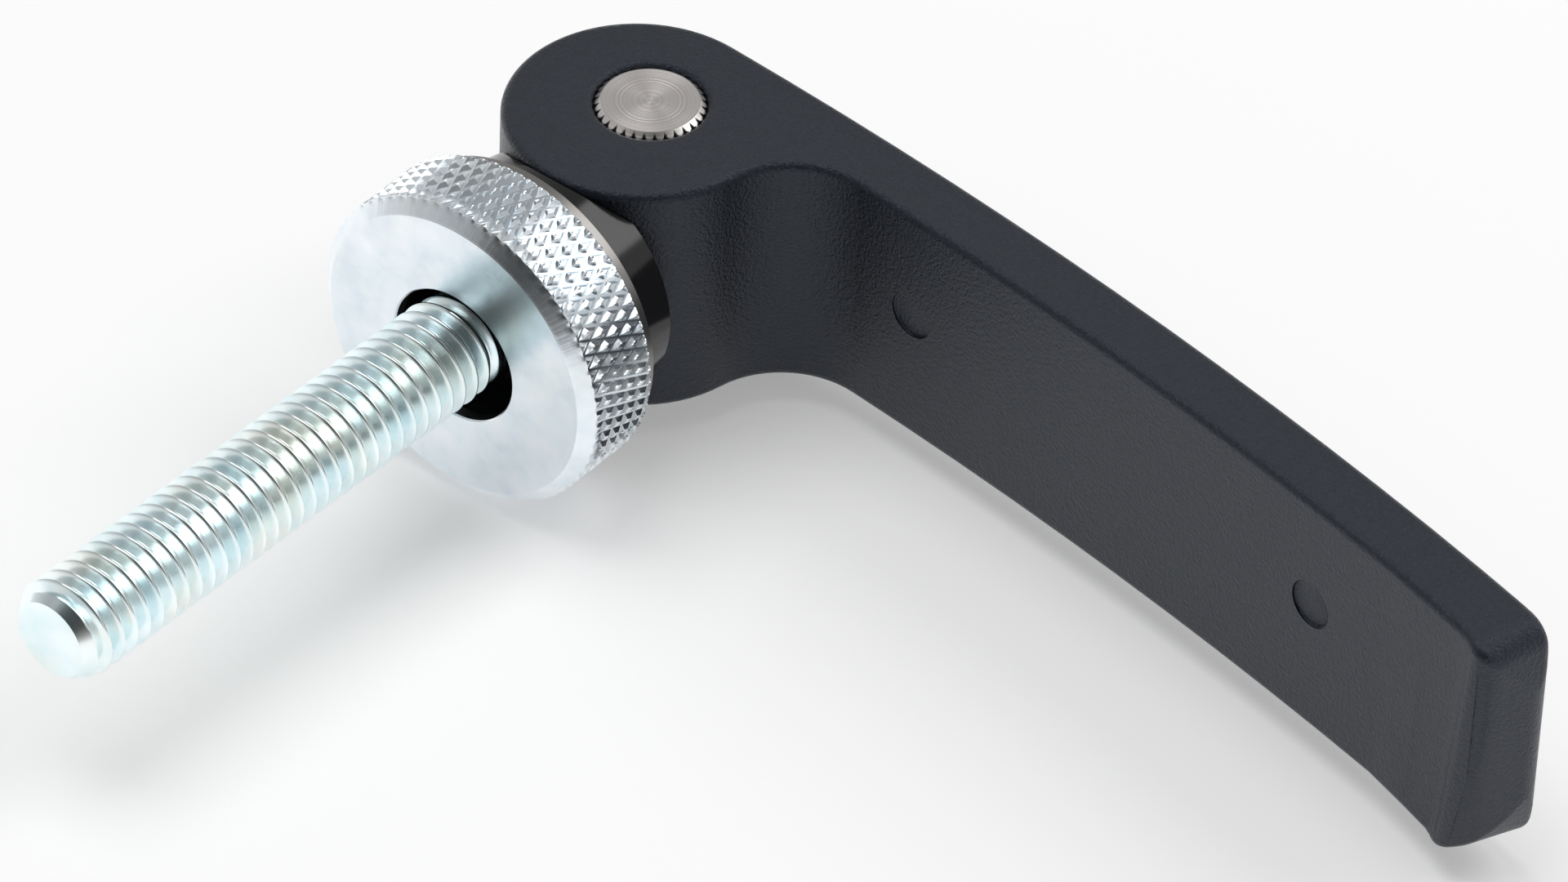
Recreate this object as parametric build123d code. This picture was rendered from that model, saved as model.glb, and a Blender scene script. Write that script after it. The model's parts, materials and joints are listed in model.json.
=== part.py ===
from build123d import *
import math
import os

# Clamping lever with an eccentric head, a setting nut and an M6 threaded stud.
#
# Frame: millimetres. The origin is the point where the stud's axis meets the
# plane of the setting nut's clamping face. The stud points along -Y, the lever
# reaches along +X when it is closed, and the pivot pin runs along Z.

# ---- Threaded stud --------------------------------------------------------
THREAD_RADIUS = 3.0          # M6 major radius
THREAD_REACH = 31.5          # clamping face to the stud's free end
TIP_CHAMFER_RADIAL = 0.75
TIP_CHAMFER_LENGTH = 1.05
SHANK_STEP = 0.32            # the plain shank is this much slimmer than the thread
THREAD_PITCH = 1.0           # M6 coarse, cut as rings of the thread's own profile
THREAD_CREST_SHARE = 1 / 8   # flat crest and root, as shares of the pitch
THREAD_ROOT_SHARE = 1 / 6
THREAD_FLANK_ANGLE = 30.0    # each flank, from the plane square to the axis
THREAD_END = 0.4             # full thread ends this far in front of the clamping face
THREAD_RUNOUT = 3.0          # and fades towards the shank over this length
EYE_WALL = 1.6               # round the pivot pin, in the eye that turns on it
EYE_EDGE_CHAMFER = 0.4

# ---- Pivot pin ------------------------------------------------------------
PIN_RADIUS = 3.0
PIN_TOOTH_COUNT = 32         # straight knurl on the pin's visible end
PIN_TOOTH_RISE = 0.08        # how far the teeth stand above the plain shank
PIN_TOOTH_DEPTH = 0.24
PIN_TOOTH_CREST = 0.4        # share of the tooth pitch that is flat crest
PIN_TOOTH_SETBACK = 0.6      # the teeth end this far short of the slot
PIN_CHAMFER_RADIAL = 0.28
PIN_CHAMFER_LENGTH = 0.4
PIN_EYE_CLEARANCE = 0.06
PIN_HOLE_CLEARANCE = 0.03    # in the lever's holes, round the teeth and the shank

# ---- Lever ----------------------------------------------------------------
ECCENTRICITY = 0.84          # pivot axis to the centre of the round head
HEAD_WALL = 1.68             # the head's thinnest place, behind the slot
LEVER_WIDTH = 15.0
LEVER_LENGTH = 63.1          # pivot axis to the end of the arm
ARM_THICKNESS = 3.95
ARM_CURVE_RADIUS = 311.0     # outer face of the arm
ARM_START_ANGLE = 1.5        # where the arm leaves the head, from +Y
ARM_ROOT_FILLET = 5.2        # hollow between the head and the arm's inner face
END_CORNER_RADIUS = 1.2      # end corners seen from the side
END_CROWN_RADIUS = 30.0      # gentle bow of the end seen from the stud's side
END_PLAN_RADIUS = 1.7        # end corners seen from the stud's side
EDGE_RADIUS = 0.5            # soft cast edges
HOLE_EDGE_RADIUS = 0.45
SLOT_SIDE_CLEARANCE = 0.35   # each side of the stud's eye
SLOT_ROUND_CLEARANCE = 0.4   # round the stud's eye
SLOT_SHANK_CLEARANCE = 0.4   # beside the stud's shank
EJECTOR_NEAR_X = 17.1        # two ejector marks on the arm's inner face
EJECTOR_END_DISTANCE = 15.5  # arm's end to the far mark
EJECTOR_ASIDE = 0.78         # both lie this far off the lever's middle plane
EJECTOR_RADIUS = 1.42
EJECTOR_RISE = 0.13
EJECTOR_EDGE_RADIUS = 0.09

# ---- Setting nut ----------------------------------------------------------
NUT_RADIUS = 9.46            # over the knurl
NUT_THICKNESS = 5.4
NUT_CHAMFER_RADIAL = 0.8
NUT_CHAMFER_LENGTH = 0.7
NUT_BACK_CHAMFER = 0.15
NUT_FRONT_WALL = 0.75        # wall in front of the threaded bore
STUD_PLAY = 1.06             # between the stud and every bore of the setting group
KNURL_COUNT = 68             # grooves of each hand
KNURL_HALF_ROWS = 5          # half diamonds across the rim
KNURL_DEPTH = 0.34

# ---- Thrust washer --------------------------------------------------------
WASHER_RADIUS = 8.85
WASHER_THICKNESS = 1.0
WASHER_BORE_CLEARANCE = 0.15
WASHER_EDGE = 0.1

# ---- Contact plate with its threaded sleeve ---------------------------------
PLATE_RADIUS = 7.34
PLATE_THICKNESS = 3.02       # washer side to the saddle's rim
PLATE_EDGE = 0.25
SADDLE_FLOOR = 1.52          # wall below the saddle's deepest line
SADDLE_CLEARANCE = 0.1       # between the lever's head and the saddle
SLEEVE_WALL = 1.44           # bore to the major radius of the sleeve's thread
SLEEVE_END_GAP = 0.2         # behind the nut's front wall
SLEEVE_END_CHAMFER = 0.3
SLEEVE_THREAD_CLEARANCE = 0.08
STACK_GAP = 0.03             # between nut, washer and plate

# ---- Play at rest -----------------------------------------------------------
ROCK_ANGLE = 1.3             # turned about the centre of the lever's head
SAG = 0.29                   # all but the stud hangs this far below the stud's axis

# ---- Derived sizes and places ----------------------------------------------
eye_radius = PIN_RADIUS + PIN_EYE_CLEARANCE + EYE_WALL
eye_thickness = 2 * THREAD_RADIUS
slot_width = eye_thickness + 2 * SLOT_SIDE_CLEARANCE
slot_radius = eye_radius + SLOT_ROUND_CLEARANCE
head_radius = slot_radius + HEAD_WALL + ECCENTRICITY
half_width = LEVER_WIDTH / 2
ear_thickness = half_width - slot_width / 2
pin_tooth_radius = PIN_RADIUS + PIN_TOOTH_RISE
tooth_hole_radius = pin_tooth_radius + PIN_HOLE_CLEARANCE
pin_tooth_length = ear_thickness - PIN_TOOTH_SETBACK
thread_back = THREAD_RUNOUT - THREAD_END
stud_bore_radius = THREAD_RADIUS + STUD_PLAY
sleeve_radius = stud_bore_radius + SLEEVE_WALL
nut_bore_radius = sleeve_radius + SLEEVE_THREAD_CLEARANCE
sleeve_front = NUT_FRONT_WALL + SLEEVE_END_GAP
washer_front = NUT_THICKNESS + STACK_GAP
plate_front = washer_front + WASHER_THICKNESS + STACK_GAP
saddle_bottom = plate_front + SADDLE_FLOOR
head_centre = Vector(0, saddle_bottom + SADDLE_CLEARANCE + head_radius)
pivot = head_centre + Vector(0, ECCENTRICITY)
past = 2 * (pivot.Y + head_radius)  # longer than any cut it serves


def direction(angle_from_y):
    """Unit vector in the XY plane, measured from +Y towards +X in degrees."""
    turn = math.radians(angle_from_y)
    return Vector(math.sin(turn), math.cos(turn))


def arc_between(centre, radius, start, end, clockwise):
    """Arc about a centre from one point to another, in the XY plane."""
    first = math.degrees(math.atan2(start.Y - centre.Y, start.X - centre.X))
    last = math.degrees(math.atan2(end.Y - centre.Y, end.X - centre.X))
    sweep = (last - first) % 360
    if clockwise:
        sweep -= 360
    return CenterArc((centre.X, centre.Y), radius, first, sweep)


def about_stud(profile):
    """Revolves an (r, y) outline about the stud's axis."""
    face = make_face(Polyline(*profile, close=True))
    return revolve(face, Axis.Y, 360)


def tube_about_stud(radius, front, back):
    """Solid cylinder on the stud's axis between two Y stations."""
    return about_stud([(0, front), (radius, front), (radius, back), (0, back)])


def upright(radius, length, centre):
    """Cylinder along Z, centred on the XY plane."""
    return Pos(centre.X, centre.Y, 0) * Cylinder(radius, length)


# The arm's two faces are arcs about one far centre, and the outer one leaves
# the round head without a kink.
arm_centre = head_centre - direction(ARM_START_ANGLE) * (ARM_CURVE_RADIUS - head_radius)
arm_inner_radius = ARM_CURVE_RADIUS - ARM_THICKNESS
arm_end_angle = math.degrees(math.asin((LEVER_LENGTH - arm_centre.X) / ARM_CURVE_RADIUS))


def root_fillet_centre():
    """Centre of the hollow that touches the head and the arm's inner face."""
    to_head = head_radius + ARM_ROOT_FILLET
    to_far = arm_inner_radius - ARM_ROOT_FILLET
    span = head_centre - arm_centre
    along = (span.length**2 + to_far**2 - to_head**2) / (2 * span.length)
    aside = math.sqrt(to_far**2 - along**2)
    forward = span.normalized()
    sideways = Vector(forward.Y, -forward.X)
    return arm_centre + forward * along + sideways * aside


def lever_outline():
    """Side view of the lever: round head, hollow root and curved arm."""
    fillet_centre = root_fillet_centre()
    leave_head = head_centre + direction(ARM_START_ANGLE) * head_radius
    end_outer = arm_centre + direction(arm_end_angle) * ARM_CURVE_RADIUS
    end_inner = arm_centre + direction(arm_end_angle) * arm_inner_radius
    root_arm = arm_centre + (fillet_centre - arm_centre).normalized() * arm_inner_radius
    root_head = head_centre + (fillet_centre - head_centre).normalized() * head_radius
    edges = [
        arc_between(arm_centre, ARM_CURVE_RADIUS, leave_head, end_outer, True),
        Line(end_outer, end_inner),
        arc_between(arm_centre, arm_inner_radius, end_inner, root_arm, False),
        arc_between(fillet_centre, ARM_ROOT_FILLET, root_arm, root_head, False),
        arc_between(head_centre, head_radius, root_head, leave_head, True),
    ]
    face = make_face(edges)
    end_corners = face.vertices().sort_by(Axis.X)[-2:]
    return fillet(end_corners, END_CORNER_RADIUS)


def lever_plan():
    """The lever seen from the stud's side: straight sides and a bowed end."""
    crown_centre = LEVER_LENGTH - END_CROWN_RADIUS
    crown_x = crown_centre + math.sqrt(END_CROWN_RADIUS**2 - half_width**2)
    top_corner = (crown_x, half_width)
    low_corner = (crown_x, -half_width)
    edges = [
        Line((-past, -half_width), low_corner),
        ThreePointArc(low_corner, (LEVER_LENGTH, 0), top_corner),
        Line(top_corner, (-past, half_width)),
        Line((-past, half_width), (-past, -half_width)),
    ]
    face = make_face(edges)
    end_corners = face.vertices().sort_by(Axis.X)[-2:]
    return fillet(end_corners, END_PLAN_RADIUS)


def ejector_mark(reach):
    """Low round boss, with a soft edge, square on the arm's inner face."""
    turn = math.degrees(math.asin((reach - arm_centre.X) / arm_inner_radius))
    outward = -direction(turn)
    spot = arm_centre - outward * arm_inner_radius
    boss = Cylinder(EJECTOR_RADIUS, 2 * EJECTOR_RISE)
    boss = fillet(boss.edges().sort_by(Axis.Z)[-1], EJECTOR_EDGE_RADIUS)
    plane = Plane(origin=(spot.X, spot.Y, EJECTOR_ASIDE), x_dir=(0, 0, 1), z_dir=outward)
    return plane * boss


def make_lever():
    side = extrude(lever_outline(), half_width, both=True)
    plan = extrude(Plane.XZ * lever_plan(), past, both=True)
    body = side & plan
    body = fillet(body.edges(), EDGE_RADIUS)
    body -= upright(PIN_RADIUS + PIN_HOLE_CLEARANCE, past, pivot)
    body -= Pos(0, 0, past / 2) * upright(tooth_hole_radius, past, pivot)
    circles = body.edges().filter_by(lambda edge: edge.is_closed).sort_by(Axis.Z)
    body = fillet([circles[0], circles[-1]], HOLE_EDGE_RADIUS)
    # The slot takes the stud's eye and lets the stud swing from -Y round to -X.
    round_part = upright(slot_radius, slot_width, pivot)
    shank_room = THREAD_RADIUS + SLOT_SHANK_CLEARANCE
    swing_part = Box(past + shank_room, past + shank_room, slot_width)
    swing_shift = (shank_room - past) / 2
    swing_part = Pos(swing_shift, pivot.Y + swing_shift, 0) * swing_part
    body -= round_part + swing_part
    body += ejector_mark(EJECTOR_NEAR_X)
    body += ejector_mark(LEVER_LENGTH - EJECTOR_END_DISTANCE)
    return body


def make_pin():
    root = pin_tooth_radius - PIN_TOOTH_DEPTH
    step = 360 / PIN_TOOTH_COUNT
    points = []
    for index in range(PIN_TOOTH_COUNT):
        valley = math.radians(index * step)
        left = math.radians((index + (1 - PIN_TOOTH_CREST) / 2) * step)
        right = math.radians((index + (1 + PIN_TOOTH_CREST) / 2) * step)
        points.append((root * math.cos(valley), root * math.sin(valley)))
        points.append((pin_tooth_radius * math.cos(left), pin_tooth_radius * math.sin(left)))
        points.append((pin_tooth_radius * math.cos(right), pin_tooth_radius * math.sin(right)))
    teeth = extrude(make_face(Polyline(*points, close=True)), pin_tooth_length)
    teeth = Pos(0, 0, half_width - pin_tooth_length) * teeth
    shank = Pos(0, 0, -pin_tooth_length / 2) * Cylinder(PIN_RADIUS, LEVER_WIDTH - pin_tooth_length)
    body = shank + teeth
    # Both ends are turned down by the same chamfer.
    outer = pin_tooth_radius
    flat = PIN_RADIUS - PIN_CHAMFER_RADIAL
    slope = PIN_CHAMFER_LENGTH * (outer - flat) / PIN_CHAMFER_RADIAL
    profile = [
        (0, -half_width),
        (flat, -half_width),
        (outer, slope - half_width),
        (outer, half_width - slope),
        (flat, half_width),
        (0, half_width),
    ]
    envelope = revolve(Plane.XZ * make_face(Polyline(*profile, close=True)), Axis.Z, 360)
    return Pos(pivot.X, pivot.Y, 0) * (body & envelope)


def thread_groove(middle):
    """Radial section of one V groove of the thread, open to the outside."""
    slope = math.tan(math.radians(THREAD_FLANK_ANGLE))
    root_half = THREAD_PITCH * THREAD_ROOT_SHARE / 2
    crest_half = THREAD_PITCH * THREAD_CREST_SHARE / 2
    mouth_half = THREAD_PITCH / 2
    mouth_radius = THREAD_RADIUS + crest_half / slope
    root_radius = mouth_radius - (mouth_half - root_half) / slope
    profile = [
        (mouth_radius, middle - mouth_half),
        (root_radius, middle - root_half),
        (root_radius, middle + root_half),
        (mouth_radius, middle + mouth_half),
    ]
    return make_face(Polyline(*profile, close=True))


def make_stud():
    section = [
        (0, -THREAD_REACH),
        (THREAD_RADIUS - TIP_CHAMFER_RADIAL, -THREAD_REACH),
        (THREAD_RADIUS, TIP_CHAMFER_LENGTH - THREAD_REACH),
        (THREAD_RADIUS, -THREAD_END),
        (THREAD_RADIUS - SHANK_STEP, thread_back),
        (THREAD_RADIUS - SHANK_STEP, pivot.Y),
        (0, pivot.Y),
    ]
    first = TIP_CHAMFER_LENGTH - THREAD_REACH
    turns = int((thread_back - first) / THREAD_PITCH)
    grooves = [thread_groove(first + (turn + 0.5) * THREAD_PITCH) for turn in range(turns)]
    shank = revolve(make_face(Polyline(*section, close=True)) - grooves, Axis.Y, 360)
    eye = upright(eye_radius, eye_thickness, pivot)
    eye = chamfer(eye.edges().filter_by(GeomType.CIRCLE), EYE_EDGE_CHAMFER)
    bore = upright(PIN_RADIUS + PIN_EYE_CLEARANCE, past, pivot)
    return shank + eye - bore


def knurled_blank():
    """Disc whose rim is cut by crossed V grooves, closed by flat ends."""
    half_row = (NUT_THICKNESS - NUT_CHAMFER_LENGTH) / KNURL_HALF_ROWS
    root_radius = NUT_RADIUS - KNURL_DEPTH
    columns = 2 * KNURL_COUNT
    first_row = -1
    last_row = KNURL_HALF_ROWS + 1

    def point(column, row):
        """Groove crossings lie low and diamond tips high, like a chessboard."""
        turn = 2 * math.pi * column / columns
        raised = (column + row) % 2
        radius = NUT_RADIUS if raised else root_radius
        y = NUT_CHAMFER_LENGTH + row * half_row
        return Vector(radius * math.cos(turn), y, -radius * math.sin(turn))

    faces = []
    for row in range(first_row, last_row):
        for column in range(columns):
            low_left = point(column, row)
            low_right = point(column + 1, row)
            high_left = point(column, row + 1)
            high_right = point(column + 1, row + 1)
            if (column + row) % 2:
                # Tips at low left and high right: split along the groove.
                halves = [(low_left, low_right, high_left), (low_right, high_right, high_left)]
            else:
                halves = [(low_left, low_right, high_right), (low_left, high_right, high_left)]
            for corners in halves:
                faces.append(Face(Wire.make_polygon(corners, close=True)))
    for row in (first_row, last_row):
        ring = [point(column, row) for column in range(columns)]
        faces.append(Face(Wire.make_polygon(ring, close=True)))
    return Solid(Shell(faces))


def make_nut():
    profile = [
        (stud_bore_radius, 0),
        (NUT_RADIUS - NUT_CHAMFER_RADIAL, 0),
        (NUT_RADIUS, NUT_CHAMFER_LENGTH),
        (NUT_RADIUS, NUT_THICKNESS - NUT_BACK_CHAMFER),
        (NUT_RADIUS - NUT_BACK_CHAMFER, NUT_THICKNESS),
        (nut_bore_radius, NUT_THICKNESS),
        (nut_bore_radius, NUT_FRONT_WALL),
        (stud_bore_radius, NUT_FRONT_WALL),
    ]
    return about_stud(profile) & knurled_blank()


def make_washer():
    inner = sleeve_radius + WASHER_BORE_CLEARANCE
    back = washer_front + WASHER_THICKNESS
    ring = tube_about_stud(WASHER_RADIUS, washer_front, back)
    ring -= tube_about_stud(inner, washer_front, back)
    return chamfer(ring.edges().filter_by(GeomType.CIRCLE), WASHER_EDGE)


def make_plate():
    disc = tube_about_stud(PLATE_RADIUS, plate_front, plate_front + PLATE_THICKNESS)
    disc = chamfer(disc.edges().sort_by(Axis.Y)[0], PLATE_EDGE)
    sleeve = tube_about_stud(sleeve_radius, sleeve_front, plate_front)
    sleeve = chamfer(sleeve.edges().sort_by(Axis.Y)[0], SLEEVE_END_CHAMFER)
    saddle = upright(head_radius + SADDLE_CLEARANCE, past, head_centre)
    bore = tube_about_stud(stud_bore_radius, 0, pivot.Y)
    return disc + sleeve - saddle - bore


def settle(piece):
    """Lets a piece of the setting group hang and rock within its play."""
    rock_axis = Axis((head_centre.X, head_centre.Y, 0), (0, 0, 1))
    return (Pos(0, 0, -SAG) * piece).rotate(rock_axis, ROCK_ANGLE)


pieces = {
    "threaded_stud": make_stud(),
    "pivot_pin": Pos(0, 0, -SAG) * make_pin(),
    "lever": Pos(0, 0, -SAG) * make_lever(),
    "contact_plate": settle(make_plate()),
    "thrust_washer": settle(make_washer()),
    "setting_nut": settle(make_nut()),
}

os.makedirs("parts", exist_ok=True)
for name, piece in pieces.items():
    export_step(piece, os.path.join("parts", name + ".step"))
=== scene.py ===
import json
import math
import bmesh
import bpy
from mathutils import Matrix, Vector
from mathutils.bvhtree import BVHTree
from mathutils.interpolate import poly_3d_calc


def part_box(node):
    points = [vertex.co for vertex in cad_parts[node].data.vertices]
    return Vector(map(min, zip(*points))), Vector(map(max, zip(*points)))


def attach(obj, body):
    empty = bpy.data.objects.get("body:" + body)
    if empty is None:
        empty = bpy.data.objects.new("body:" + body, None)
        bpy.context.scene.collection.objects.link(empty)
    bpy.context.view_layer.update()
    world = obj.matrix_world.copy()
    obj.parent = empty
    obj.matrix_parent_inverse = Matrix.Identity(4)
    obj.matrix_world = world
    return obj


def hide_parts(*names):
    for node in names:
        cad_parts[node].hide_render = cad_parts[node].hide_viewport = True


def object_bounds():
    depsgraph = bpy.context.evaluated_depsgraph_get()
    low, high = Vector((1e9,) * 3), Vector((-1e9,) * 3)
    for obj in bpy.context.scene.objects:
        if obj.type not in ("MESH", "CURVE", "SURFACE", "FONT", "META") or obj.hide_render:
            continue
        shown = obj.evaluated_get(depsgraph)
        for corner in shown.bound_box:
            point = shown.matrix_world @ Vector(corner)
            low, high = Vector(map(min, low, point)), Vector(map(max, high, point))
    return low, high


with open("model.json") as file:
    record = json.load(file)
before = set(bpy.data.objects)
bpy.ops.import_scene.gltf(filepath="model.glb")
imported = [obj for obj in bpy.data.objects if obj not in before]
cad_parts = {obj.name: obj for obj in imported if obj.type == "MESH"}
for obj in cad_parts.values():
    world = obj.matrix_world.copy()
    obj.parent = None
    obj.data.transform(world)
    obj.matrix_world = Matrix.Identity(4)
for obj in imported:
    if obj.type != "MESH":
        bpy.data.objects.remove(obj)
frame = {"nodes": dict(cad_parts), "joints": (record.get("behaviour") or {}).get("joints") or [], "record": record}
cad_low, cad_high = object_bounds()

# Cam clamping lever, in metres and degrees. The stud points along -Y, the lever
# along +X and the pivot pin along Z. The setting group (nut, washer and plate)
# hangs a little askew on the stud, so its own axis and places come from the
# packed joints and mounts.

MM = 0.001
nodes = frame["nodes"]
joints = {joint["name"]: joint for joint in frame["joints"]}
mounts = {mount["name"]: mount for mount in frame["record"]["mounts"]}

# ---- Camera ----------------------------------------------------------------
CAMERA_AZIMUTH = 38.374
CAMERA_ELEVATION = 40.904
CAMERA_ROLL = 2.404
CAMERA_DISTANCE = 0.627
CAMERA_LENS = 267.9          # millimetres
CAMERA_CLIP = (0.01, 10.0)
AIM_RIGHT = 0.01805          # aim point, measured from the origin in the view
AIM_DOWN = 0.00497

# ---- Light -----------------------------------------------------------------
FLOOR_SIZE = 3.0
FLOOR_COLOUR = (0.84, 0.84, 0.84)
FLOOR_GLOW = 0.31            # lifts the floor to the white of the background
FLOOR_SHEEN = 0.46           # the same, as metal and gloss reflect it
WORLD_FILL = 0.32            # strength of the world as a light
ROOM_DARK = 0.06             # the room as metal reflects it, where it is darkest
DARK_SIDE = (0.45, -0.75, 0.48)
DARK_FROM = 0.60             # it starts where a direction's share along it is this
DARK_FULL = 0.95             # and is at its darkest here
DARK_DIM = 0.60              # what the dark side takes off the room's white
CEILING_DIM = 0.82           # and what the ceiling takes off it, straight up
LAMP_DISTANCE = 1.0
LAMP_SIZE = 0.66
LAMPS = (                    # name, azimuth, elevation and watts
    ("back_right_box", 150, 47, 3.2),
    ("overhead_box", -80, 74, 3.8),
)

# ---- Meshes ------------------------------------------------------------------
MERGE_DISTANCE = 1e-7        # points closer than this become one

# ---- Plating -----------------------------------------------------------------
PASSIVATE_WARM = (0.86, 0.82, 0.70)    # the faint warm patches of a blue passivate

# ---- Stud ------------------------------------------------------------------
THREAD_PITCH = 1.0 * MM
THREAD_DEPTH = 0.6134        # share of the pitch, on a metric external thread
CREST_HALF_WIDTH = 0.075     # shares of the pitch
ROOT_HALF_WIDTH = 0.10
THREAD_START = -4.0 * MM     # along the stud from the clamping plane
THREAD_END = 0.4 * MM        # the full thread reaches back to here
THREAD_RUNOUT = 3.0 * MM
SHANK_STEP = 0.33 * MM       # hides the end of the run-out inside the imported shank
TIP_CHAMFER_RADIAL = 0.75 * MM
TIP_CHAMFER_LENGTH = 1.05 * MM
THREAD_SEGMENTS = 120
THREAD_ROWS = 20             # rows of faces in each pitch
EYE_CUT = 3.6 * MM           # behind this the stud keeps its packed form

# ---- Setting nut -------------------------------------------------------------
NUT_THICKNESS = 5.4 * MM
NUT_CHAMFER_RADIAL = 0.8 * MM
NUT_CHAMFER_LENGTH = 0.7 * MM
NUT_BACK_CHAMFER = 0.15 * MM
NUT_HOLE_RADIUS = 4.06 * MM
NUT_FRONT_WALL = 0.75 * MM
NUT_BORE_RADIUS = 5.58 * MM
HOLE_EDGE = 0.08 * MM
KNURL_COUNT = 68
KNURL_HALF_ROWS = 5
KNURL_DEPTH = 0.24 * MM
KNURL_STEPS = 6              # faces across half a diamond
GROOVE_FLOOR = 1 / 12        # half widths of a groove, as shares of its spacing
GROOVE_MOUTH = 4 / 12
GROOVE_FADE = 0.3            # share of the depth left where the grooves meet the chamfer
RIM_INSET = 0.03 * MM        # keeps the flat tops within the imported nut's box
CHATTER_SPACING = 0.05       # radians round the chamfer
CHATTER_FADE_INSIDE = 0.1 * MM
CHATTER_FADE_BEHIND = 0.05 * MM

# ---- Lever ---------------------------------------------------------------------
MARK_PLACES = (17.1 * MM, 47.6 * MM)   # ejector marks, along the arm
MARK_ASIDE = 0.49 * MM
MARK_REACH = 1.46 * MM       # holds all of a mark
MARK_RISE = 0.13 * MM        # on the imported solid
MARK_DEPTH = 0.16 * MM       # sunk here, as on the real casting
FACES_STUD = -0.9            # Y of the normals of the arm's inner side: at most this
FACES_AWAY = 0.5             # and of its outer side: at least this
TIP_LENGTH = 10.0 * MM       # the arm's end changes over this length
TIP_FULL = 2.0 * MM          # and has its full change over this one
TIP_CUTS = 16                # across it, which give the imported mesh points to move
TIP_LEAN = 0.26              # slant of the end face towards the stud, as a slope
TIP_CORNER_LEAN = 0.36       # added at the lower corner
TIP_CORNER_POWER = 4         # how close to that corner it stays
TIP_SLOPE = -0.20            # Y over X of the arm itself at its end
ARM_THICKNESS = 3.95 * MM
LIP_LENGTH = 3.2 * MM        # the inner side's soft lip rises over this length
LIP_FULL = 0.9 * MM          # and its full height over this one
LIP_HEIGHT = 0.45 * MM
SLOPE_STEP = 0.002 * MM      # over which the change of shape is measured

# ---- Thrust washer -----------------------------------------------------------
WASHER_FRONT = 5.43 * MM     # behind the clamping plane
WASHER_BACK = 6.43 * MM
WASHER_BORE_RADIUS = 5.65 * MM
WASHER_BEVEL_RADIAL = 0.30 * MM
WASHER_BEVEL_LENGTH = 0.24 * MM
WASHER_SEGMENTS = 256

# ---- Pivot pin -----------------------------------------------------------------
PIN_FACE_RADIUS = 2.72 * MM
PIN_SHANK_RADIUS = 3.0 * MM
PIN_CHAMFER = 0.30 * MM
PIN_CHAMFER_STEPS = 10
TOOTH_COUNT = 32
TOOTH_STEPS = 14             # faces across a tooth
TOOTH_VALLEY = 0.20          # valley's half width, as a share of the spacing
TOOTH_DEPTH = 0.30 * MM
TOOTH_CROWN = 0.05 * MM
TOOTH_LENGTH = 3.55 * MM


def clamp(value):
    """The value, kept between 0 and 1."""
    return min(max(value, 0.0), 1.0)


def direction_from(azimuth, elevation):
    """Unit vector from the object towards a viewer at these angles in degrees."""
    a = math.radians(azimuth)
    e = math.radians(elevation)
    return Vector((math.sin(a) * math.cos(e), -math.cos(a) * math.cos(e), math.sin(e)))


def view_axes():
    """The camera's right, up and back directions."""
    back = direction_from(CAMERA_AZIMUTH, CAMERA_ELEVATION)
    level = Vector((0, 0, 1)).cross(back).normalized()
    upright = back.cross(level)
    roll = math.radians(CAMERA_ROLL)
    right = math.cos(roll) * level + math.sin(roll) * upright
    up = -math.sin(roll) * level + math.cos(roll) * upright
    return right, up, back


def make_camera():
    """Camera at the photograph's viewing angle."""
    right, up, back = view_axes()
    data = bpy.data.cameras.new("camera")
    data.lens = CAMERA_LENS
    data.clip_start, data.clip_end = CAMERA_CLIP
    camera = bpy.data.objects.new("camera", data)
    place = right * AIM_RIGHT - up * AIM_DOWN + back * CAMERA_DISTANCE
    turn = Matrix((right, up, back)).transposed()
    camera.matrix_world = Matrix.Translation(place) @ turn.to_4x4()
    bpy.context.scene.collection.objects.link(camera)
    bpy.context.scene.camera = camera


# ---- Node helpers ------------------------------------------------------------
def empty_tree(owner):
    """The node tree of a material or a world, with nothing in it."""
    owner.use_nodes = True
    owner.node_tree.nodes.clear()
    return owner.node_tree


def new_material(name):
    """A node material, its tree and its Principled shader."""
    material = bpy.data.materials.new(name)
    tree = empty_tree(material)
    output = tree.nodes.new("ShaderNodeOutputMaterial")
    shader = tree.nodes.new("ShaderNodeBsdfPrincipled")
    tree.links.new(shader.outputs["BSDF"], output.inputs["Surface"])
    return material, tree, shader


def place_of(tree):
    """The shaded point in the piece's own frame, which moves with the piece."""
    return tree.nodes.new("ShaderNodeTexCoord").outputs["Object"]


def feed_sockets(tree, sockets, values):
    """Links each value that is a socket, and writes the others into their sockets."""
    for socket, value in zip(sockets, values):
        if isinstance(value, bpy.types.NodeSocket):
            tree.links.new(value, socket)
        elif value is not None:
            socket.default_value = value


def maths(tree, operation, first, second=None, limited=False):
    """One step of arithmetic on numbers."""
    node = tree.nodes.new("ShaderNodeMath")
    node.operation = operation
    node.use_clamp = limited
    feed_sockets(tree, node.inputs, (first, second))
    return node.outputs[0]


def vector_maths(tree, operation, first, second=None):
    """One step of arithmetic on vectors, as a node."""
    node = tree.nodes.new("ShaderNodeVectorMath")
    node.operation = operation
    feed_sockets(tree, node.inputs, (first, second))
    return node


def noise(tree, place, size, detail=2.0, roughness=0.5):
    """Noise whose features measure about size metres, from 0 to 1."""
    node = tree.nodes.new("ShaderNodeTexNoise")
    node.inputs["Scale"].default_value = 1.0 / size
    node.inputs["Detail"].default_value = detail
    node.inputs["Roughness"].default_value = roughness
    tree.links.new(place, node.inputs["Vector"])
    return node.outputs["Fac"]


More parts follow.
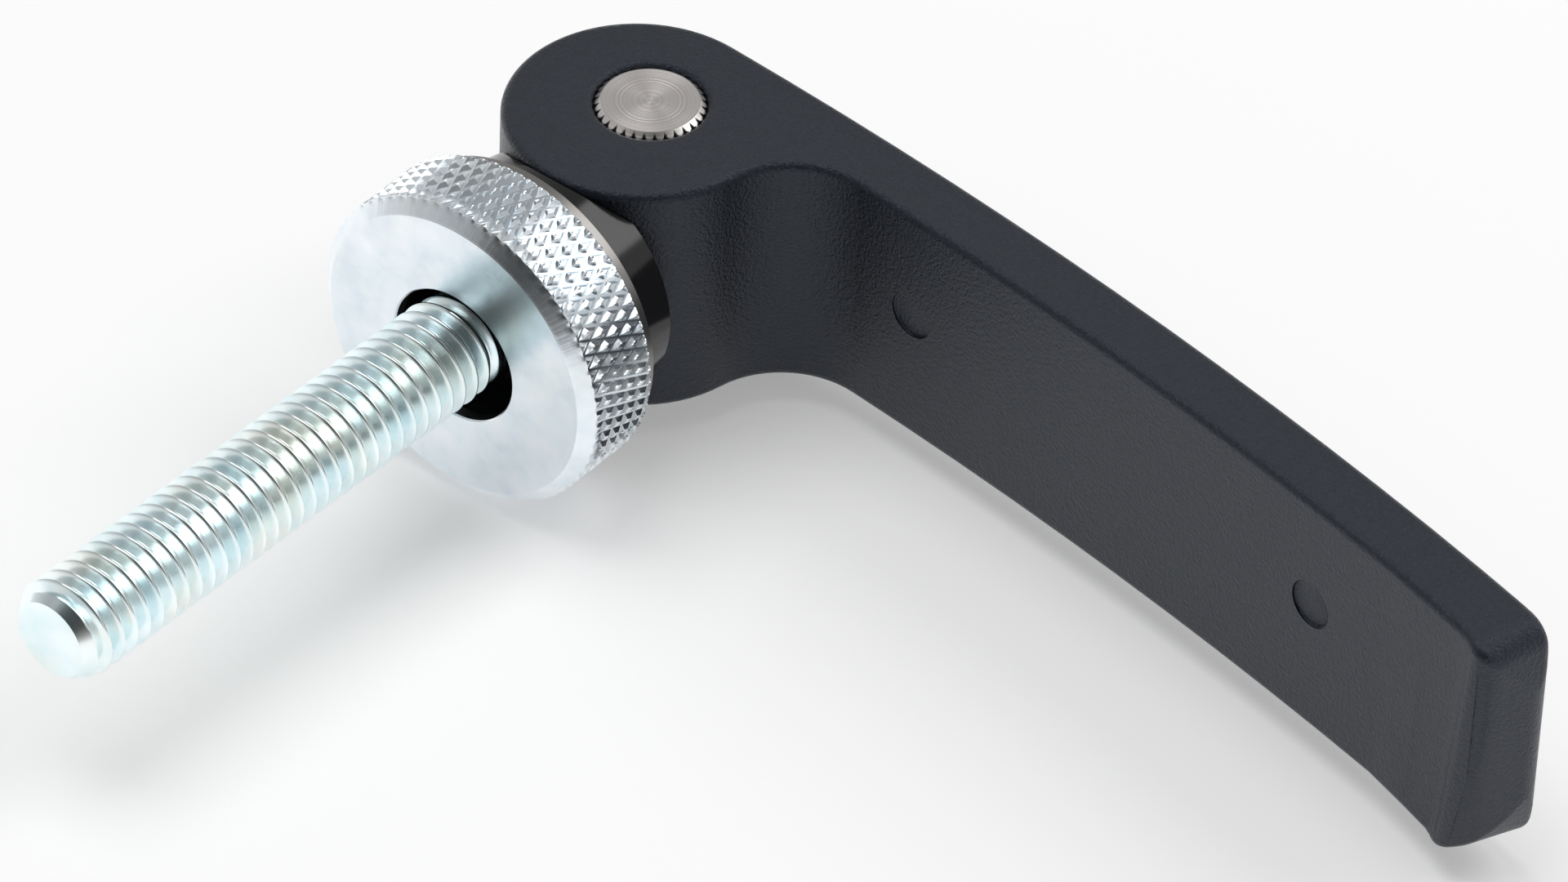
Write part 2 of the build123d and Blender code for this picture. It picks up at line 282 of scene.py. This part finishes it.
def line_noise(tree, value, spacing, detail):
    """Noise along one number, with features about spacing apart, from 0 to 1."""
    node = tree.nodes.new("ShaderNodeTexNoise")
    node.noise_dimensions = "1D"
    node.inputs["Scale"].default_value = 1.0 / spacing
    node.inputs["Detail"].default_value = detail
    tree.links.new(value, node.inputs["W"])
    return node.outputs["Fac"]


def remap(tree, value, low, high, new_low, new_high):
    """The value moved from one range to another, and kept inside it."""
    node = tree.nodes.new("ShaderNodeMapRange")
    for name, number in (
        ("From Min", low),
        ("From Max", high),
        ("To Min", new_low),
        ("To Max", new_high),
    ):
        node.inputs[name].default_value = number
    tree.links.new(value, node.inputs["Value"])
    return node.outputs["Result"]


def smooth_step(tree, value, low, high, new_low, new_high):
    """As remap, with soft ends."""
    result = remap(tree, value, low, high, new_low, new_high)
    result.node.interpolation_type = "SMOOTHSTEP"
    return result


def mix_colours(tree, factor, first, second):
    """The first colour at factor 0, the second at 1. Each may be a tuple or a socket."""
    node = tree.nodes.new("ShaderNodeMix")
    node.data_type = "RGBA"
    colours = [(*c, 1.0) if isinstance(c, tuple) else c for c in (first, second)]
    feed_sockets(tree, (node.inputs[0], node.inputs[6], node.inputs[7]), (factor, *colours))
    return node.outputs[2]


def bump(tree, height, distance, strength=1.0, under=None):
    """Normal of a surface that this height raises, on top of another normal."""
    node = tree.nodes.new("ShaderNodeBump")
    node.inputs["Strength"].default_value = strength
    node.inputs["Distance"].default_value = distance
    tree.links.new(height, node.inputs["Height"])
    if under is not None:
        tree.links.new(under, node.inputs["Normal"])
    return node.outputs["Normal"]


def offset_from(tree, place, origin):
    """The way from an origin to the shaded point."""
    return vector_maths(tree, "SUBTRACT", place, origin).outputs[0]


def distance_from_axis(tree, place, origin, axis):
    """How far the shaded point lies from an axis, in metres."""
    offset = offset_from(tree, place, origin)
    across = vector_maths(tree, "CROSS_PRODUCT", offset, axis).outputs[0]
    return vector_maths(tree, "LENGTH", across).outputs["Value"]


def turning_marks(tree, place, origin, axis, feed):
    """Fine uneven rings about an axis, as a lathe tool leaves them, from 0 to 1."""
    return line_noise(tree, distance_from_axis(tree, place, origin, axis), feed, detail=2.0)


# ---- Materials ---------------------------------------------------------------
def powder_coat():
    """Matt black powder coat with a fine grain."""
    material, tree, shader = new_material("powder_coat")
    place = place_of(tree)
    grain = noise(tree, place, 0.20 * MM, detail=3.0, roughness=0.65)
    cloud = noise(tree, place, 9 * MM, detail=2.0)
    colour = mix_colours(tree, cloud, (0.0050, 0.0070, 0.0110), (0.0065, 0.0085, 0.0130))
    tree.links.new(colour, shader.inputs["Base Color"])
    rough = remap(tree, grain, 0.3, 0.7, 0.32, 0.42)
    tree.links.new(rough, shader.inputs["Roughness"])
    shader.inputs["Specular IOR Level"].default_value = 0.52
    shader.inputs["Specular Tint"].default_value = (0.76, 0.84, 1.0, 1.0)
    tree.links.new(bump(tree, grain, 0.09 * MM, 1.0), shader.inputs["Normal"])
    return material


def chamfer_chatter(tree, place, origin, axis, across, radius_from, depth_to):
    """Height of the tool's short marks on the nut's front chamfer, from 0 to 1."""
    radius = distance_from_axis(tree, place, origin, axis)
    offset = offset_from(tree, place, origin)
    depth = vector_maths(tree, "DOT_PRODUCT", offset, -axis).outputs["Value"]
    radius_full = radius_from + CHATTER_FADE_INSIDE
    outside = smooth_step(tree, radius, radius_from, radius_full, 0.0, 1.0)
    ahead = smooth_step(tree, depth, depth_to, depth_to + CHATTER_FADE_BEHIND, 1.0, 0.0)
    side = vector_maths(tree, "DOT_PRODUCT", offset, across).outputs["Value"]
    up = tree.nodes.new("ShaderNodeSeparateXYZ")
    tree.links.new(offset, up.inputs[0])
    turn = maths(tree, "ARCTAN2", side, up.outputs[2])
    marks = line_noise(tree, turn, CHATTER_SPACING, detail=3.0)
    return maths(tree, "MULTIPLY", marks, maths(tree, "MULTIPLY", outside, ahead))


def plated(name, warm_share, roughness, pale, deep, chatter=None):
    """Zinc plate with a blue passivate: cool metal with faint tints and a soft grain.

    Chatter holds what chamfer_chatter needs, for a piece that has such marks."""
    material, tree, shader = new_material(name)
    place = place_of(tree)
    patches = noise(tree, place, 2.6 * MM, detail=3.0, roughness=0.55)
    tint = mix_colours(tree, remap(tree, patches, 0.35, 0.65, 0.0, 1.0), pale, deep)
    drift = noise(tree, place, 4.1 * MM, detail=2.0)
    warm = remap(tree, drift, 0.45, 0.70, 0.0, warm_share)
    colour = mix_colours(tree, warm, tint, PASSIVATE_WARM)
    tree.links.new(colour, shader.inputs["Base Color"])
    shader.inputs["Metallic"].default_value = 1.0
    grain = noise(tree, place, 0.12 * MM, detail=3.0, roughness=0.6)
    rough = remap(tree, patches, 0.3, 0.7, roughness - 0.03, roughness + 0.04)
    tree.links.new(rough, shader.inputs["Roughness"])
    normal = bump(tree, grain, 0.003 * MM, 0.4)
    if chatter is not None:
        normal = bump(tree, chamfer_chatter(tree, place, *chatter), 0.02 * MM, 0.5, under=normal)
    tree.links.new(normal, shader.inputs["Normal"])
    return material


def turned_steel(name, origin, axis, feed, colour, roughness, depth, brushed=0.0):
    """Bare stainless steel with turning marks about an axis."""
    material, tree, shader = new_material(name)
    place = place_of(tree)
    rings = turning_marks(tree, place, origin, axis, feed)
    shade = mix_colours(tree, rings, tuple(0.80 * c for c in colour), colour)
    tree.links.new(shade, shader.inputs["Base Color"])
    shader.inputs["Metallic"].default_value = 1.0
    rough = remap(tree, rings, 0.3, 0.7, roughness - 0.05, roughness + 0.08)
    tree.links.new(rough, shader.inputs["Roughness"])
    tree.links.new(bump(tree, rings, depth, 0.8), shader.inputs["Normal"])
    if brushed > 0.0:
        # Marks that run round the Z axis spread a highlight along the radius.
        shader.inputs["Anisotropic"].default_value = brushed
        shader.inputs["Anisotropic Rotation"].default_value = 0.25
        round_axis = tree.nodes.new("ShaderNodeTangent")
        round_axis.direction_type = "RADIAL"
        round_axis.axis = "Z"
        tree.links.new(round_axis.outputs[0], shader.inputs["Tangent"])
    return material


def black_plastic(origin, axis):
    """Smooth black acetal, turned, so that its rim shows faint rings."""
    material, tree, shader = new_material("black_plastic")
    place = place_of(tree)
    rings = turning_marks(tree, place, origin, axis, 0.09 * MM)
    cloud = noise(tree, place, 1.5 * MM)
    colour = mix_colours(tree, cloud, (0.010, 0.010, 0.011), (0.014, 0.014, 0.015))
    tree.links.new(colour, shader.inputs["Base Color"])
    tree.links.new(remap(tree, rings, 0.3, 0.7, 0.12, 0.22), shader.inputs["Roughness"])
    tree.links.new(bump(tree, rings, 0.004 * MM, 0.5), shader.inputs["Normal"])
    return material


# ---- Mesh helpers ------------------------------------------------------------
def merge_points(bm):
    """Makes points that lie on each other one."""
    bmesh.ops.remove_doubles(bm, verts=bm.verts, dist=MERGE_DISTANCE)


def fill_holes(bm):
    """Closes each open end with a face."""
    edges = [edge for edge in bm.edges if edge.is_boundary]
    bmesh.ops.holes_fill(bm, edges=edges, sides=0)


def everything(bm):
    """All that a cut may go through."""
    return list(bm.verts) + list(bm.edges) + list(bm.faces)


def smooth_mesh(name, bm):
    """A smooth-shaded mesh with the form of bm, which ends here."""
    mesh = bpy.data.meshes.new(name)
    bm.to_mesh(mesh)
    bm.free()
    mesh.shade_smooth()
    return mesh


def new_piece(mesh, material):
    """An object in the scene for this mesh, with the mesh's name."""
    mesh.materials.append(material)
    piece = bpy.data.objects.new(mesh.name, mesh)
    bpy.context.scene.collection.objects.link(piece)
    return piece


def finish_mesh(name, bm, material, sharp_angle):
    """A piece from bm, shaded smooth up to an angle in degrees between faces."""
    merge_points(bm)
    bmesh.ops.recalc_face_normals(bm, faces=bm.faces)
    mesh = smooth_mesh(name, bm)
    mesh.set_sharp_from_angle(angle=math.radians(sharp_angle))
    return new_piece(mesh, material)


def add_face(bm, *corners):
    """A face from the corners that differ, or none if fewer than three do."""
    different = []
    for corner in corners:
        if corner not in different:
            different.append(corner)
    if len(different) > 2:
        bm.faces.new(different)


def add_ring(bm, centre, first, second, count, radius_of):
    """Points round a centre, from the first direction towards the second."""
    ring = []
    for column in range(count):
        turn = 2 * math.pi * column / count
        outward = first * math.cos(turn) + second * math.sin(turn)
        ring.append(bm.verts.new(centre + outward * radius_of(column)))
    return ring


def faces_between(here, there):
    """The four corners of each face between two rings."""
    for column in range(len(here)):
        after = (column + 1) % len(here)
        yield here[column], here[after], there[after], there[column]


# ---- Stud --------------------------------------------------------------------
def thread_shape(phase):
    """Height of a metric thread from root 0 to crest 1 at a phase of its turn."""
    from_crest = abs(phase - round(phase))
    flank = (from_crest - CREST_HALF_WIDTH) / (0.5 - CREST_HALF_WIDTH - ROOT_HALF_WIDTH)
    return 1.0 - clamp(flank)


def add_thread(bm):
    """Helical thread from its run-out behind the nut to the stud's chamfered tip."""
    crest_radius = mounts["stud"]["dims"]["r_mm"] * MM
    tip = -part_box("threaded_stud")[0].y
    shank_radius = crest_radius - SHANK_STEP
    root_radius = crest_radius - THREAD_DEPTH * THREAD_PITCH
    end_radius = crest_radius - TIP_CHAMFER_RADIAL
    chamfer_slope = TIP_CHAMFER_RADIAL / TIP_CHAMFER_LENGTH

    def radius_at(station, phase):
        fade = clamp((THREAD_END - station) / THREAD_RUNOUT)
        crest = crest_radius + (shank_radius - crest_radius) * fade
        root = root_radius + (shank_radius - root_radius) * fade
        threaded = root + (crest - root) * thread_shape(phase)
        return min(threaded, end_radius + (tip - station) * chamfer_slope)

    turns = math.ceil((tip - THREAD_START) / THREAD_PITCH) + 1
    rows = turns * THREAD_ROWS
    grid = []
    for row in range(rows + 1):
        ring = []
        for column in range(THREAD_SEGMENTS):
            share = column / THREAD_SEGMENTS
            phase = row / THREAD_ROWS
            station = THREAD_START + (phase + share - 1.0) * THREAD_PITCH
            station = min(max(station, THREAD_START), tip)
            radius = radius_at(station, phase)
            turn = 2 * math.pi * share
            ring.append(bm.verts.new((radius * math.cos(turn), -station, radius * math.sin(turn))))
        grid.append(ring)
    for row in range(rows):
        for column in range(THREAD_SEGMENTS):
            if column + 1 < THREAD_SEGMENTS:
                far = (grid[row][column + 1], grid[row + 1][column + 1])
            elif row + THREAD_ROWS < rows:
                far = (grid[row + THREAD_ROWS][0], grid[row + THREAD_ROWS + 1][0])
            else:
                far = (grid[rows][0], grid[rows][0])
            add_face(bm, grid[row][column], far[0], far[1], grid[row + 1][column])
    merge_points(bm)
    bmesh.ops.dissolve_degenerate(bm, edges=bm.edges, dist=MERGE_DISTANCE)
    fill_holes(bm)


def add_packed_eye(bm):
    """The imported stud's plain shank and eye, cut off behind the thread."""
    eye = bmesh.new()
    eye.from_mesh(nodes["threaded_stud"].data)
    merge_points(eye)
    bmesh.ops.bisect_plane(
        eye,
        geom=everything(eye),
        plane_co=(0, EYE_CUT, 0),
        plane_no=(0, 1, 0),
        clear_inner=True,
    )
    fill_holes(eye)
    mesh = smooth_mesh("eye_form", eye)
    bm.from_mesh(mesh)
    bpy.data.meshes.remove(mesh)


def make_stud(material):
    """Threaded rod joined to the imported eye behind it."""
    bm = bmesh.new()
    add_thread(bm)
    add_packed_eye(bm)
    piece = finish_mesh("stud", bm, material, sharp_angle=28)
    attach(piece, "stud")
    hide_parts("threaded_stud")


# ---- Setting nut --------------------------------------------------------------
def group_place():
    """Axis, clamping-face centre and two cross directions of the setting group."""
    joint = joints["nut_turn"]
    axis = Vector(joint["axis"]).normalized()
    origin = Vector(joint["pos_m"])
    reach = (Vector(mounts["clamping_face"]["pos_m"]) - origin).dot(axis)
    upward = Vector((0, 0, 1))
    return axis, origin + axis * reach, axis.cross(upward).normalized(), upward


def knurl_height(column, row):
    """Height of the diamond knurl from groove 0 to flat top 1, and which groove is deeper.

    Column and row count half diamonds round and across the rim."""
    dips = []
    for line in ((column + row) / 2, (column - row) / 2):
        rise = (abs(line - round(line)) - GROOVE_FLOOR) / (GROOVE_MOUTH - GROOVE_FLOOR)
        dips.append(1.0 - clamp(rise))
    return 1.0 - max(dips), dips[0] > dips[1]


def nut_rim_radius():
    """Radius over the knurl."""
    low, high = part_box("setting_nut")
    return (high.z - low.z) / 2 - RIM_INSET


def make_nut(material):
    """Nut with crossed grooves round its rim, turned chamfers and a stepped bore."""
    axis, centre, across, upward = group_place()
    rim_radius = nut_rim_radius()
    half_row = (NUT_THICKNESS - NUT_CHAMFER_LENGTH) / KNURL_HALF_ROWS
    row_step = half_row / KNURL_STEPS
    columns = 2 * KNURL_COUNT * KNURL_STEPS
    front_rows = math.ceil(NUT_CHAMFER_LENGTH / row_step)
    rim_rows = KNURL_HALF_ROWS * KNURL_STEPS

    def envelope(depth):
        """Rim radius left by the front and back chamfers."""
        front = rim_radius - NUT_CHAMFER_RADIAL * (1 - depth / NUT_CHAMFER_LENGTH)
        back = rim_radius - NUT_BACK_CHAMFER + (NUT_THICKNESS - depth)
        return min(rim_radius, front, back)

    bm = bmesh.new()

    def ring(depth, radius_of):
        return add_ring(bm, centre - axis * depth, across, upward, columns, radius_of)

    def plain(depth, radius):
        return ring(depth, lambda column: radius), False

    def knurled(depth):
        row = (depth - NUT_CHAMFER_LENGTH) / half_row
        groove_depth = KNURL_DEPTH * (GROOVE_FADE + (1 - GROOVE_FADE) * clamp(row))

        def radius_of(column):
            height = knurl_height(column / KNURL_STEPS, row)[0]
            return min(rim_radius - groove_depth * (1 - height), envelope(depth))

        return ring(depth, radius_of), True

    rings = [
        plain(NUT_FRONT_WALL, NUT_HOLE_RADIUS),
        plain(HOLE_EDGE, NUT_HOLE_RADIUS),
        plain(0, NUT_HOLE_RADIUS + HOLE_EDGE),
    ]
    depths = [0.0]
    depths += [NUT_CHAMFER_LENGTH + row * row_step for row in range(1 - front_rows, rim_rows)]
    depths += [NUT_THICKNESS - NUT_BACK_CHAMFER / 2, NUT_THICKNESS]
    rings += [knurled(depth) for depth in sorted(depths)]
    rings += [plain(NUT_THICKNESS, NUT_BORE_RADIUS), plain(NUT_FRONT_WALL, NUT_BORE_RADIUS)]
    for index, (here, here_knurled) in enumerate(rings):
        there, there_knurled = rings[(index + 1) % len(rings)]
        for column, corners in enumerate(faces_between(here, there)):
            if not (here_knurled and there_knurled):
                bm.faces.new(corners)
                continue
            # Each face splits along the groove that it lies in.
            middle = (corners[0].co + corners[2].co) / 2 - centre
            row = (-middle.dot(axis) - NUT_CHAMFER_LENGTH) / half_row
            falling = knurl_height((column + 0.5) / KNURL_STEPS, row)[1]
            if falling:
                bm.faces.new((corners[0], corners[1], corners[3]))
                bm.faces.new((corners[1], corners[2], corners[3]))
            else:
                bm.faces.new((corners[0], corners[1], corners[2]))
                bm.faces.new((corners[0], corners[2], corners[3]))
    piece = finish_mesh("nut", bm, material, sharp_angle=22)
    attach(piece, "nut")
    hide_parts("setting_nut")


# ---- Lever -----------------------------------------------------------------------
def sink_mark(mesh, normals, along):
    """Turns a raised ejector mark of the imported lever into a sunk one.

    Its points move to the other side of the arm's face, and the radial part of its
    normals turns round."""

    def away(point):
        return Vector((point.x - along, 0, point.z - MARK_ASIDE))

    inside = [away(vertex.co).length < MARK_REACH for vertex in mesh.vertices]
    faces = [
        face
        for face in mesh.polygons
        if face.normal.y < FACES_AWAY and all(inside[index] for index in face.vertices)
    ]
    flats = [face for face in faces if face.normal.y < FACES_STUD]
    cap = max(flats, key=lambda face: face.area)
    top, outward = cap.center.copy(), cap.normal.copy()
    moved = set()
    for face in faces:
        for corner, index in zip(face.loop_indices, face.vertices):
            spot = mesh.vertices[index].co
            if abs((spot - top).dot(outward)) > 2 * MARK_RISE:
                continue
            moved.add(index)
            if away(spot).length > 0:
                radial = away(spot).normalized()
                normals[corner] -= radial * (2 * normals[corner].dot(radial))
    for index in moved:
        height = (mesh.vertices[index].co - top).dot(outward) + MARK_RISE
        if height > 0:
            mesh.vertices[index].co -= outward * height * (1 + MARK_DEPTH / MARK_RISE)


def rise_between(value, low, high):
    """From 0 at low to 1 at high, with soft ends."""
    share = clamp((value - low) / (high - low))
    return share * share * (3 - 2 * share)


def shaped_tip(point, low, high):
    """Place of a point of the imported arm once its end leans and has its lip.

    High is the end's outer upper corner, and low gives its lower edge's Z."""
    outer = high.y + TIP_SLOPE * (point.x - high.x)
    across = clamp((outer - point.y) / ARM_THICKNESS)
    middle = (low.z + high.z) / 2
    below = max((middle - point.z) / (middle - low.z), 0.0)
    lean = (TIP_LEAN + TIP_CORNER_LEAN * below**TIP_CORNER_POWER) * across * ARM_THICKNESS
    share = clamp((point.x - high.x + TIP_LENGTH) / (TIP_LENGTH - TIP_FULL))
    lip = LIP_HEIGHT * across * rise_between(point.x, high.x - LIP_LENGTH, high.x - LIP_FULL)
    return Vector((point.x - lean * share, point.y - lip, point.z))


def shape_tip(mesh, normals):
    """Moves the arm's end, and turns its normals with it."""
    low, high = (corner.copy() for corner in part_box("lever"))
    high.y = max(v.co.y for v in mesh.vertices if v.co.x > high.x - TIP_FULL)
    start = high.x - TIP_LENGTH
    sides = [Vector(row) * SLOPE_STEP for row in Matrix.Identity(3)]
    for face in mesh.polygons:
        for corner, index in zip(face.loop_indices, face.vertices):
            spot = mesh.vertices[index].co
            if spot.x < start:
                continue
            steps = []
            for side in sides:
                change = shaped_tip(spot + side, low, high) - shaped_tip(spot - side, low, high)
                steps.append(change / (2 * SLOPE_STEP))
            normals[corner] = Matrix(steps).inverted_safe() @ normals[corner]
    for vertex in mesh.vertices:
        if vertex.co.x > start:
            vertex.co = shaped_tip(vertex.co, low, high)


def normals_from(packed, mesh):
    """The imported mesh's own normals at each corner of a mesh cut from it."""
    given = [Vector(corner.vector) for corner in packed.corner_normals]
    points = [vertex.co for vertex in packed.vertices]
    tree = BVHTree.FromPolygons(points, [list(face.vertices) for face in packed.polygons])
    normals = []
    for face in mesh.polygons:
        source = packed.polygons[tree.find_nearest(face.center)[2]]
        outline = [points[index] for index in source.vertices]
        for index in face.vertices:
            weights = poly_3d_calc(outline, mesh.vertices[index].co)
            parts = [given[corner] * weight for corner, weight in zip(source.loop_indices, weights)]
            normals.append(sum(parts, Vector()))
    return normals


def cut_lever():
    """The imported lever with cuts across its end."""
    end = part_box("lever")[1].x
    bm = bmesh.new()
    bm.from_mesh(nodes["lever"].data)
    for cut in range(TIP_CUTS):
        place = (end - TIP_LENGTH * (1 - cut / TIP_CUTS), 0, 0)
        bmesh.ops.bisect_plane(bm, geom=everything(bm), plane_co=place, plane_no=(1, 0, 0))
    bmesh.ops.triangulate(bm, faces=bm.faces)
    return smooth_mesh("clamping_lever", bm)


def make_lever(material):
    """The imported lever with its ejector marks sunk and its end's true shape."""
    mesh = cut_lever()
    normals = normals_from(nodes["lever"].data, mesh)
    for along in MARK_PLACES:
        sink_mark(mesh, normals, along)
    shape_tip(mesh, normals)
    mesh.update()
    mesh.normals_split_custom_set([normal.normalized() for normal in normals])
    piece = new_piece(mesh, material)
    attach(piece, "lever")
    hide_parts("lever")


# ---- Thrust washer ------------------------------------------------------------
def make_washer(material):
    """Thin ring whose bevelled edges leave a narrow bright rim."""
    axis, centre, across, upward = group_place()
    low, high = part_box("thrust_washer")
    outer = (high.z - low.z) / 2
    profile = [
        (WASHER_FRONT, WASHER_BORE_RADIUS),
        (WASHER_FRONT, outer - WASHER_BEVEL_RADIAL),
        (WASHER_FRONT + WASHER_BEVEL_LENGTH, outer),
        (WASHER_BACK - WASHER_BEVEL_LENGTH, outer),
        (WASHER_BACK, outer - WASHER_BEVEL_RADIAL),
        (WASHER_BACK, WASHER_BORE_RADIUS),
    ]
    bm = bmesh.new()

    def ring(depth, radius):
        place = centre - axis * depth
        return add_ring(bm, place, across, upward, WASHER_SEGMENTS, lambda column: radius)

    rings = [ring(depth, radius) for depth, radius in profile]
    for here, there in zip(rings, rings[1:] + rings[:1]):
        for corners in faces_between(here, there):
            bm.faces.new(corners)
    piece = finish_mesh("washer", bm, material, sharp_angle=25)
    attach(piece, "washer")
    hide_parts("thrust_washer")


# ---- Pivot pin ------------------------------------------------------------------
def tooth_drop(phase):
    """How far the pin's straight knurl falls below its crest at a phase of a tooth."""
    from_valley = abs(phase - round(phase))
    if from_valley < TOOTH_VALLEY:
        return TOOTH_CROWN + (TOOTH_DEPTH - TOOTH_CROWN) * (1 - from_valley / TOOTH_VALLEY)
    return TOOTH_CROWN * ((0.5 - from_valley) / (0.5 - TOOTH_VALLEY)) ** 2


def make_pin(material, face_material):
    """Pivot pin with round-crested teeth under a turned chamfer on its visible end."""
    low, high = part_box("pivot_pin")
    middle = (low + high) / 2
    outer = (high.x - low.x) / 2
    columns = TOOTH_COUNT * TOOTH_STEPS

    def limit(drop):
        """Radius that the chamfer leaves this far below an end."""
        return min(outer, PIN_FACE_RADIUS + drop * (outer - PIN_FACE_RADIUS) / PIN_CHAMFER)

    bm = bmesh.new()

    def ring(height, radius_of):
        place = Vector((middle.x, middle.y, height))
        return add_ring(bm, place, Vector((1, 0, 0)), Vector((0, 1, 0)), columns, radius_of)

    def toothed(drop):
        return ring(
            high.z - drop,
            lambda column: min(outer - tooth_drop(column / TOOTH_STEPS), limit(drop)),
        )

    drops = [PIN_CHAMFER * step / PIN_CHAMFER_STEPS for step in range(PIN_CHAMFER_STEPS + 1)]
    rings = [toothed(drop) for drop in drops + [TOOTH_LENGTH]]
    rings.append(ring(high.z - TOOTH_LENGTH, lambda column: PIN_SHANK_RADIUS))
    for drop in (PIN_CHAMFER, 0.0):
        rings.append(ring(low.z + drop, lambda column: min(PIN_SHANK_RADIUS, limit(drop))))
    for here, there in zip(rings, rings[1:]):
        for corners in faces_between(here, there):
            bm.faces.new(corners)
    bm.faces.new(rings[0]).material_index = 1
    bm.faces.new(rings[-1]).material_index = 1
    piece = finish_mesh("pin", bm, material, sharp_angle=28)
    piece.data.materials.append(face_material)
    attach(piece, "lever")
    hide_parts("pivot_pin")


# ---- Contact plate --------------------------------------------------------------
def dress(node, material):
    """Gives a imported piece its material."""
    mesh = nodes[node].data
    mesh.materials.clear()
    mesh.materials.append(material)


# ---- Floor and light -----------------------------------------------------------
def kinds_of_ray(tree):
    """1 for camera rays, and 1 for glossy and transmission rays, as two sockets."""
    path = tree.nodes.new("ShaderNodeLightPath")
    glossy, through = path.outputs["Is Glossy Ray"], path.outputs["Is Transmission Ray"]
    return path.outputs["Is Camera Ray"], maths(tree, "ADD", glossy, through, limited=True)


def make_floor():
    """Pale floor that keeps the shadow and is white where it is seen."""
    bpy.ops.mesh.primitive_plane_add(size=FLOOR_SIZE, location=(0, 0, cad_low.z))
    floor = bpy.context.object
    floor.name = "floor"
    material = bpy.data.materials.new("floor")
    tree = empty_tree(material)
    output = tree.nodes.new("ShaderNodeOutputMaterial")
    matt = tree.nodes.new("ShaderNodeBsdfDiffuse")
    matt.inputs["Color"].default_value = (*FLOOR_COLOUR, 1.0)
    glow = tree.nodes.new("ShaderNodeEmission")
    from_camera, mirrored = kinds_of_ray(tree)
    viewed = maths(tree, "MULTIPLY", from_camera, FLOOR_GLOW)
    strength = maths(tree, "ADD", viewed, maths(tree, "MULTIPLY", mirrored, FLOOR_SHEEN))
    tree.links.new(strength, glow.inputs["Strength"])
    both = tree.nodes.new("ShaderNodeAddShader")
    tree.links.new(matt.outputs[0], both.inputs[0])
    tree.links.new(glow.outputs[0], both.inputs[1])
    tree.links.new(both.outputs[0], output.inputs["Surface"])
    floor.data.materials.append(material)


def make_world():
    """White to the camera, a room with a dark side to gloss, an even fill to the rest."""
    world = bpy.data.worlds.new("studio")
    bpy.context.scene.world = world
    tree = empty_tree(world)
    output = tree.nodes.new("ShaderNodeOutputWorld")
    light = tree.nodes.new("ShaderNodeBackground")
    towards = tree.nodes.new("ShaderNodeTexCoord").outputs["Generated"]
    facing = vector_maths(tree, "DOT_PRODUCT", towards, DARK_SIDE).outputs["Value"]
    dark_side = smooth_step(tree, facing, DARK_FROM, DARK_FULL, 0.0, DARK_DIM)
    height = tree.nodes.new("ShaderNodeSeparateXYZ")
    tree.links.new(towards, height.inputs[0])
    dim = maths(tree, "ADD", dark_side, maths(tree, "MULTIPLY", height.outputs[2], CEILING_DIM))
    room = maths(tree, "MAXIMUM", maths(tree, "SUBTRACT", 1.0, dim), ROOM_DARK)
    from_camera, mirrored = kinds_of_ray(tree)
    seen = maths(tree, "MAXIMUM", room, from_camera)
    extra = maths(tree, "SUBTRACT", seen, WORLD_FILL)
    is_seen = maths(tree, "ADD", from_camera, mirrored, limited=True)
    strength = maths(tree, "ADD", maths(tree, "MULTIPLY", extra, is_seen), WORLD_FILL)
    tree.links.new(strength, light.inputs["Strength"])
    tree.links.new(light.outputs[0], output.inputs["Surface"])


def add_lamp(name, azimuth, elevation, watts):
    """Square soft box that faces the object."""
    data = bpy.data.lights.new(name, "AREA")
    data.shape = "SQUARE"
    data.size = LAMP_SIZE
    data.energy = watts
    lamp = bpy.data.objects.new(name, data)
    towards = direction_from(azimuth, elevation)
    middle = (cad_low + cad_high) / 2
    lamp.location = middle + towards * LAMP_DISTANCE
    lamp.rotation_mode = "QUATERNION"
    lamp.rotation_quaternion = towards.to_track_quat("Z", "Y")
    bpy.context.scene.collection.objects.link(lamp)


# ---- The scene -----------------------------------------------------------------
bpy.context.scene.view_settings.view_transform = "Standard"
make_camera()
make_floor()
make_world()
for lamp in LAMPS:
    add_lamp(*lamp)

group_axis, face_centre, group_across, _ = group_place()
pin_origin = Vector(joints["lever_pivot"]["pos_m"])
pin_axis = Vector(joints["lever_pivot"]["axis"])
pin_turning = {"origin": pin_origin, "axis": pin_axis, "feed": 0.12 * MM}

make_lever(powder_coat())
dress("contact_plate", black_plastic(face_centre, group_axis))
make_pin(
    turned_steel(
        "pin_steel", colour=(0.80, 0.77, 0.74), roughness=0.30, depth=0.002 * MM, **pin_turning
    ),
    # Painted reflection: the end face gets a paler copy of the pin's steel so that it reads brighter than the
    # teeth. Its brushed turning marks and lower roughness are real.
    turned_steel(
        "pin_face_steel_painted_reflection",
        colour=(0.92, 0.87, 0.85),
        roughness=0.26,
        depth=0.012 * MM,
        brushed=0.75,
        **pin_turning,
    ),
)
make_washer(
    turned_steel(
        "washer_steel",
        origin=face_centre,
        axis=group_axis,
        feed=0.10 * MM,
        colour=(0.32, 0.31, 0.30),
        roughness=0.32,
        depth=0.003 * MM,
    )
)
make_stud(
    plated(
        "plated_stud",
        warm_share=0.45,
        roughness=0.24,
        pale=(0.86, 0.95, 0.97),
        deep=(0.72, 0.86, 0.89),
    )
)
chamfer_from = nut_rim_radius() - NUT_CHAMFER_RADIAL
make_nut(
    plated(
        "plated_nut",
        warm_share=0.15,
        roughness=0.24,
        pale=(0.82, 0.87, 0.91),
        deep=(0.70, 0.77, 0.82),
        chatter=(face_centre, group_axis, group_across, chamfer_from, NUT_CHAMFER_LENGTH),
    )
)
